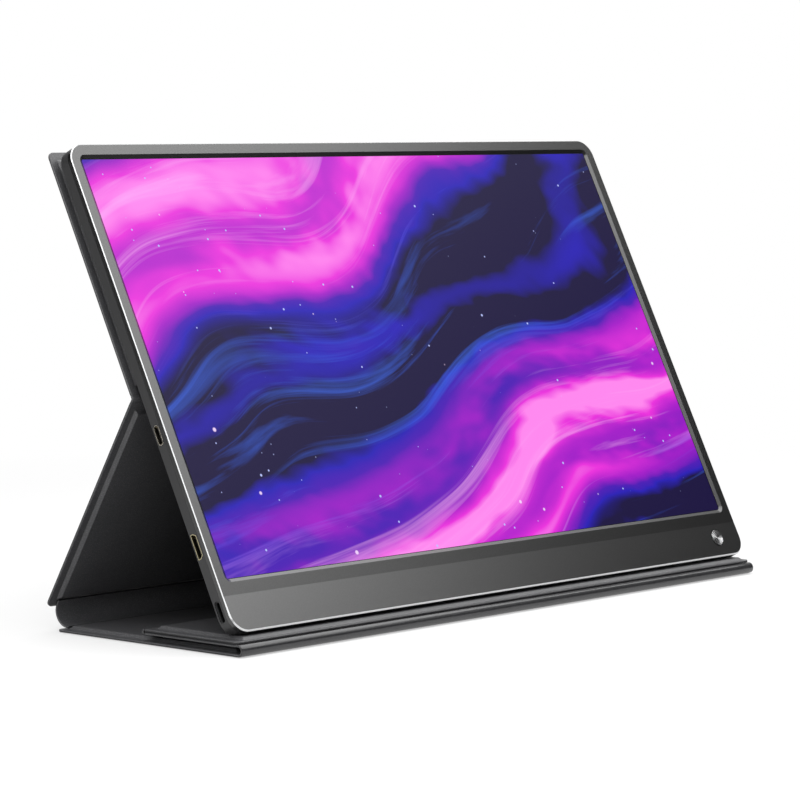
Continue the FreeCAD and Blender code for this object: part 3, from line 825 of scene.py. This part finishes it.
def housing_ring(inset, depth):
    """Outline of the housing, drawn in by inset and set back from the face by depth."""
    corner = max(HOUSING_CORNER - inset, LEAST_HOUSING_CORNER)
    outline = rounded_ring(
        -HALF_WIDTH + inset, HALF_WIDTH - inset, inset, FULL_HEIGHT - inset, [corner] * 4, CORNER_STEPS
    )
    return [Vector((x, depth, z)) for x, z in outline]


def window_ring(margin, depth):
    """Outline of the window, larger than the picture by margin and set back from the face by depth."""
    reach = ACTIVE_WIDTH / 2 + margin
    outline = rounded_ring(
        -reach, reach, CHIN_HEIGHT - margin, CHIN_HEIGHT + ACTIVE_HEIGHT + margin,
        [WINDOW_CORNER + margin] * 4, CORNER_STEPS,
    )
    return [Vector((x, depth, z)) for x, z in outline]


# Dark anodised aluminium: the bead-blasted face spreads a broad soft reflection. The pits are about
# 0.1 mm and are drawn at 0.5 mm.
anodised, tree, shader = new_material("dark_anodised_aluminium", {"Metallic": 1.0})
where = add_node(tree, "ShaderNodeTexCoord", {})
blasting = add_node(
    tree,
    "ShaderNodeTexNoise",
    {"Scale": 1 / (0.5 * MM), "Detail": 3.0},
    {"Vector": where.outputs["Object"]},
)
oxide = add_node(
    tree,
    "ShaderNodeValToRGB",
    {"stops": [(0.3, "#585858"), (0.7, "#5e5e5e")]},
    {"Fac": blasting.outputs["Fac"]},
)
tree.links.new(oxide.outputs["Color"], shader.inputs["Base Color"])
oxide_gloss = add_node(
    tree, "ShaderNodeMapRange", {"To Min": 0.27, "To Max": 0.33}, {"Value": blasting.outputs["Fac"]}
)
tree.links.new(oxide_gloss.outputs["Result"], shader.inputs["Roughness"])
pits = add_node(
    tree, "ShaderNodeBump", {"Strength": 0.08, "Distance": 0.02 * MM}, {"Height": blasting.outputs["Fac"]}
)
tree.links.new(pits.outputs["Normal"], shader.inputs["Normal"])

# Chin facet: the same anodised aluminium, painted a lighter grey below the crease and without the
# blasting's pits. The lighter grey is painted light, standing in for the light that the slightly upturned
# slope catches from above. Its grey varies in flecks about 0.4 mm across.
chin_facet, tree, shader = new_material("lighter_painted_aluminium_facet", {"Metallic": 1.0, "Roughness": 0.3})
where = add_node(tree, "ShaderNodeTexCoord", {})
facet_flecks = add_node(
    tree, "ShaderNodeTexNoise", {"Scale": 1 / (0.4 * MM)}, {"Vector": where.outputs["Object"]}
)
chin_tone = add_node(
    tree,
    "ShaderNodeValToRGB",
    {"stops": [(0.3, "#666666"), (0.7, "#6c6c6c")]},
    {"Fac": facet_flecks.outputs["Fac"]},
)
tree.links.new(chin_tone.outputs["Color"], shader.inputs["Base Color"])

# Diamond-cut rim: bare aluminium, the brightest line on the object, with tool marks about 0.3 mm apart.
bright_cut, tree, shader = new_material(
    "diamond_cut_aluminium", {"Metallic": 1.0, "Base Color": linear("#cfd0d1")}
)
where = add_node(tree, "ShaderNodeTexCoord", {})
tool_marks = add_node(
    tree, "ShaderNodeTexNoise", {"Scale": 1 / (0.3 * MM)}, {"Vector": where.outputs["Object"]}
)
cut_gloss = add_node(
    tree, "ShaderNodeMapRange", {"To Min": 0.2, "To Max": 0.3}, {"Value": tool_marks.outputs["Fac"]}
)
tree.links.new(cut_gloss.outputs["Result"], shader.inputs["Roughness"])

frame_rings = [
    housing_ring(0, BAND), housing_ring(0, RIM_CUT), housing_ring(RIM_CUT, 0),
    window_ring(WINDOW_MARGIN + WINDOW_BEVEL, 0), window_ring(WINDOW_MARGIN, PLATE),
    housing_ring(LIP_INSETS[1], PLATE), housing_ring(LIP_INSETS[1], LIP),
    housing_ring(LIP_INSETS[0], LIP), housing_ring(LIP_INSETS[0], BAND),
]
form = lofted(frame_rings + frame_rings[:1], close_ends=False)
bmesh.ops.remove_doubles(form, verts=form.verts, dist=TOUCHING)
# The faces that slant between the face and the outer wall are the bright rim.
for face in form.faces:
    middle = face.calc_center_median()
    face.normal_update()
    slants = 0 < middle.y < RIM_CUT and abs(face.normal.y) < 0.75
    past_edge = max(abs(middle.x) - HALF_WIDTH, -middle.z, middle.z - FULL_HEIGHT)
    face.material_index = int(slants and past_edge > -HOUSING_CORNER / 2)
bmesh.ops.bisect_plane(
    form,
    geom=form.verts[:] + form.edges[:] + form.faces[:],
    plane_co=(0, 0, CHIN_CREASE),
    plane_no=(0, 0, 1),
)
# Below the crease the face comes forward, and its edge draws in as it does so.
chin_run = CHIN_CREASE - RIM_CUT - CHIN_RISE
for vert in form.verts:
    if abs(vert.co.y) < TOUCHING and vert.co.z < CHIN_CREASE - TOUCHING:
        core = Vector((
            min(max(vert.co.x, HOUSING_CORNER - HALF_WIDTH), HALF_WIDTH - HOUSING_CORNER),
            0,
            max(vert.co.z, HOUSING_CORNER),
        ))
        share = min((CHIN_CREASE - vert.co.z) / chin_run, 1)
        vert.co += (core - vert.co).normalized() * CHIN_RISE * share
        vert.co.y = -CHIN_RISE * (CHIN_CREASE - vert.co.z) / chin_run
front_plate = add_piece("front_frame_plate", form, anodised, sharp=20)
front_plate.data.materials.append(bright_cut)
front_plate.data.materials.append(chin_facet)
# The chin's facet is what looks forward below the crease.
for poly in front_plate.data.polygons:
    if poly.material_index == 0 and poly.normal.y < -0.2 and poly.center.z < CHIN_CREASE:
        poly.material_index = 2
# The hole for the key is drilled through the chin.
drill_form = bmesh.new()
bmesh.ops.create_cone(
    drill_form, cap_ends=True, segments=KEY_HOLE_SIDES,
    radius1=KEY_HOLE, radius2=KEY_HOLE, depth=DRILL_LENGTH,
    matrix=Matrix.Translation((KEY_CENTRE[0], 0, KEY_CENTRE[1])) @ Matrix.Rotation(math.pi / 2, 4, "X"),
)
drill = add_piece("key_drill", drill_form, anodised)
drilling = front_plate.modifiers.new("key_hole", "BOOLEAN")
drilling.object = drill
drilling.solver = "EXACT"
shapes = bpy.context.evaluated_depsgraph_get()
drilled = bpy.data.meshes.new_from_object(front_plate.evaluated_get(shapes))
front_plate.modifiers.clear()
front_plate.data = drilled
bpy.data.objects.remove(drill)
# The flat face shades flat, and the rounded corners stay smooth.
for face in drilled.polygons:
    face.use_smooth = abs(face.normal.y) < 0.99
drilled.transform(monitor_place)
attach(front_plate, "monitor")
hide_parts("front_frame")

# Power key: an aluminium cap that is turned with a shallow dish, whose concentric marks throw two bright
# wedges of light. Its skirt stays anodised. It stands a little proud of the chin and presses in against
# a switch.
KEY_RADIUS = 4.0 * MM
KEY_DISH = 0.15 * MM
KEY_SKIRT = 1.6 * MM
KEY_FLANGE = 4.9 * MM
KEY_FLANGE_DEPTH = 0.2 * MM
KEY_SIDES = 64
DISH_STEPS = 10
CAP_FACE = -0.4295 * MM
SPIN_MARK = 0.35 * MM
# Inset from the cap's edge and depth below its face, in millimetres, round the turned lip.
KEY_LIP = [(0.12, 0.01), (0.03, 0.04), (0.0, 0.12)]
SPUN_RADIUS = KEY_RADIUS - 0.1 * MM
spun, tree, shader = new_material(
    "spun_aluminium",
    {"Metallic": 1.0, "Base Color": linear("#dededf"), "Roughness": 0.26, "Anisotropic": 1.0,
     "Anisotropic Rotation": 0.25},
)
around = add_node(tree, "ShaderNodeTangent", {"direction_type": "RADIAL", "axis": "Z"})
tree.links.new(around.outputs["Tangent"], shader.inputs["Tangent"])
where = add_node(tree, "ShaderNodeTexCoord", {})
spin_marks = add_node(
    tree,
    "ShaderNodeTexWave",
    {"wave_type": "RINGS", "rings_direction": "Z", "Scale": WAVE_PERIOD / SPIN_MARK},
    {"Vector": where.outputs["Object"]},
)
spin_bump = add_node(
    tree, "ShaderNodeBump", {"Strength": 0.1, "Distance": 0.01 * MM}, {"Height": spin_marks.outputs["Fac"]}
)
tree.links.new(spin_bump.outputs["Normal"], shader.inputs["Normal"])
dish = [step / DISH_STEPS for step in range(1, DISH_STEPS)]
flange_top = -KEY_SKIRT + KEY_FLANGE_DEPTH
key_profile = [(KEY_RADIUS * share, -KEY_DISH * (1 - share ** 2)) for share in dish]
key_profile += [(KEY_RADIUS - inset * MM, -depth * MM) for inset, depth in KEY_LIP]
key_profile += [(KEY_RADIUS, flange_top), (KEY_FLANGE, flange_top), (KEY_FLANGE, -KEY_SKIRT)]
turns = [2 * math.pi * i / KEY_SIDES for i in range(KEY_SIDES)]
key_rings = []
for radius, level in key_profile:
    key_rings.append([Vector((radius * math.cos(a), radius * math.sin(a), level)) for a in turns])
power_key = add_piece("power_key_cap", lofted(key_rings), spun)
power_key.data.materials.append(anodised)
for face in power_key.data.polygons:
    face.material_index = int(face.center.xy.length > SPUN_RADIUS)
key_seat = Matrix.Translation((KEY_CENTRE[0], CAP_FACE, KEY_CENTRE[1]))
power_key.matrix_world = monitor_place @ key_seat @ Matrix.Rotation(math.pi / 2, 4, "X")
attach(power_key, "power_key")
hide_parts("power_key")

# Floor: a round table top of matte white laminate. Close to the object half of what is seen is the lit
# laminate, which keeps the object's shadow, and half is plain white. Further out it is all plain white,
# both seen directly and in reflections.
TABLE_RADIUS = 0.9
TABLE_SIDES = 96
TABLE_DROP = 0.3 * MM
PLAIN_FROM = 0.25
PLAIN_TO = 0.75
table_form = bmesh.new()
bmesh.ops.create_circle(table_form, cap_ends=True, segments=TABLE_SIDES, radius=TABLE_RADIUS)
white_laminate = bpy.data.materials.new("white_laminate")
white_laminate.use_nodes = True
tree = white_laminate.node_tree
tree.nodes.clear()
rays = add_node(tree, "ShaderNodeLightPath", {})
where = add_node(tree, "ShaderNodeTexCoord", {})
from_middle = add_node(tree, "ShaderNodeVectorMath", {"operation": "LENGTH"}, {0: where.outputs["Object"]})
plain_share = add_node(
    tree,
    "ShaderNodeMapRange",
    {"From Min": PLAIN_FROM, "From Max": PLAIN_TO, "To Min": 0.5, "To Max": 1.0},
    {"Value": from_middle.outputs["Value"]},
)
seen = add_node(
    tree,
    "ShaderNodeMath",
    {"operation": "MAXIMUM"},
    {0: rays.outputs["Is Camera Ray"], 1: rays.outputs["Is Glossy Ray"]},
)
seen_through = add_node(
    tree,
    "ShaderNodeMath",
    {"operation": "MAXIMUM"},
    {0: seen.outputs[0], 1: rays.outputs["Is Transmission Ray"]},
)
plain_white = add_node(
    tree,
    "ShaderNodeMath",
    {"operation": "MULTIPLY"},
    {0: seen_through.outputs[0], 1: plain_share.outputs["Result"]},
)
matte = add_node(tree, "ShaderNodeBsdfDiffuse", {"Color": linear("#d2d2d2")})
glow = add_node(tree, "ShaderNodeEmission", {"Strength": 1.0})
mixed = add_node(
    tree,
    "ShaderNodeMixShader",
    {},
    {0: plain_white.outputs[0], 1: matte.outputs["BSDF"], 2: glow.outputs["Emission"]},
)
add_node(tree, "ShaderNodeOutputMaterial", {}, {"Surface": mixed.outputs["Shader"]})
table_top = add_piece("table_top", table_form, white_laminate)
table_top.location.z = -TABLE_DROP

# Room: white where it is seen directly or through glass. In reflections only the side with the backdrop
# is white and the rest is dark, and on matte surfaces the room sheds a weak even light.
BACKDROP_SIDE = (0.746, 0.651, -0.139)
ROOM_LIGHT = 0.25
world = bpy.data.worlds.new("studio")
bpy.context.scene.world = world
world.use_nodes = True
tree = world.node_tree
tree.nodes.clear()
rays = add_node(tree, "ShaderNodeLightPath", {})
room_seen = add_node(
    tree,
    "ShaderNodeMath",
    {"operation": "MAXIMUM"},
    {0: rays.outputs["Is Camera Ray"], 1: rays.outputs["Is Transmission Ray"]},
)
direction = add_node(tree, "ShaderNodeTexCoord", {})
towards_backdrop = add_node(
    tree,
    "ShaderNodeVectorMath",
    {"operation": "DOT_PRODUCT", 1: BACKDROP_SIDE},
    {0: direction.outputs["Generated"]},
)
backdrop = add_node(
    tree,
    "ShaderNodeMapRange",
    {"From Min": 0.6, "From Max": 0.95, "To Min": 0.02, "To Max": 1.0},
    {"Value": towards_backdrop.outputs["Value"]},
)
reflected = add_node(
    tree,
    "ShaderNodeMath",
    {"operation": "MULTIPLY"},
    {0: rays.outputs["Is Glossy Ray"], 1: backdrop.outputs["Result"]},
)
spread = add_node(
    tree,
    "ShaderNodeMath",
    {"operation": "MULTIPLY", 1: ROOM_LIGHT},
    {0: rays.outputs["Is Diffuse Ray"]},
)
indirect = add_node(
    tree, "ShaderNodeMath", {"operation": "ADD"}, {0: reflected.outputs[0], 1: spread.outputs[0]}
)
level = add_node(
    tree,
    "ShaderNodeMath",
    {"operation": "ADD", "use_clamp": True},
    {0: indirect.outputs[0], 1: room_seen.outputs[0]},
)
room = add_node(
    tree, "ShaderNodeBackground", {"Color": (1.0, 1.0, 1.0, 1.0)}, {"Strength": level.outputs[0]}
)
add_node(tree, "ShaderNodeOutputWorld", {}, {"Surface": room.outputs["Background"]})


# Studio light: a broad softbox overhead, whose right edge the frame mirrors as a soft gradient, and beside
# it a narrow one for the right end of the front fold. A small one at the front right glows in the chin,
# one at the front left lights the bright rim, and one at the left lights the cover's left edges.
def add_softbox(name, width, depth, radiance, place, aim):
    """Rectangular lamp of a given radiance that faces a point."""
    lamp = bpy.data.lights.new(name, "AREA")
    lamp.shape = "RECTANGLE"
    lamp.size = width
    lamp.size_y = depth
    lamp.energy = radiance * math.pi * width * depth
    softbox = bpy.data.objects.new(name, lamp)
    softbox.location = place
    softbox.rotation_euler = (Vector(aim) - Vector(place)).to_track_quat("-Z", "Y").to_euler()
    softbox.visible_camera = False
    bpy.context.scene.collection.objects.link(softbox)


add_softbox("overhead", 2.24, 1.8, 3.0, (0.12, -0.3, 1.05), (0.12, -0.3, 0))
add_softbox("overhead_right", 0.5, 0.25, 4.0, (1.49, -0.2, 1.05), (1.49, -0.2, 0))
add_softbox("front_right", 0.4, 0.3, 1.0, (0.46, -0.6, 0.5), (-0.17, -0.05, 0.02))
add_softbox("front_left", 0.7, 1.0, 1.7, (-1.0, -0.8, 0.62), (-0.18, -0.05, 0.1))
add_softbox("left", 0.9, 0.9, 1.8, (-1.0, 0.25, 0.55), (-0.15, 0.03, 0.05))

# Camera: a long lens at the photograph's angle, to the left in front of the object and about as high as
# its top edge.
LOOK_DOWN = math.radians(4.6363)
LOOK_RIGHT = math.radians(48.4426)
lens = bpy.data.cameras.new("camera")
lens.sensor_width = 36.0
lens.lens = 155.8
camera = bpy.data.objects.new("camera", lens)
camera.location = (-1.19433, -1.04279, 0.2215)
camera.rotation_euler = (math.pi / 2 - LOOK_DOWN, 0, -LOOK_RIGHT)
bpy.context.scene.collection.objects.link(camera)
bpy.context.scene.camera = camera
bpy.context.scene.view_settings.view_transform = "Standard"
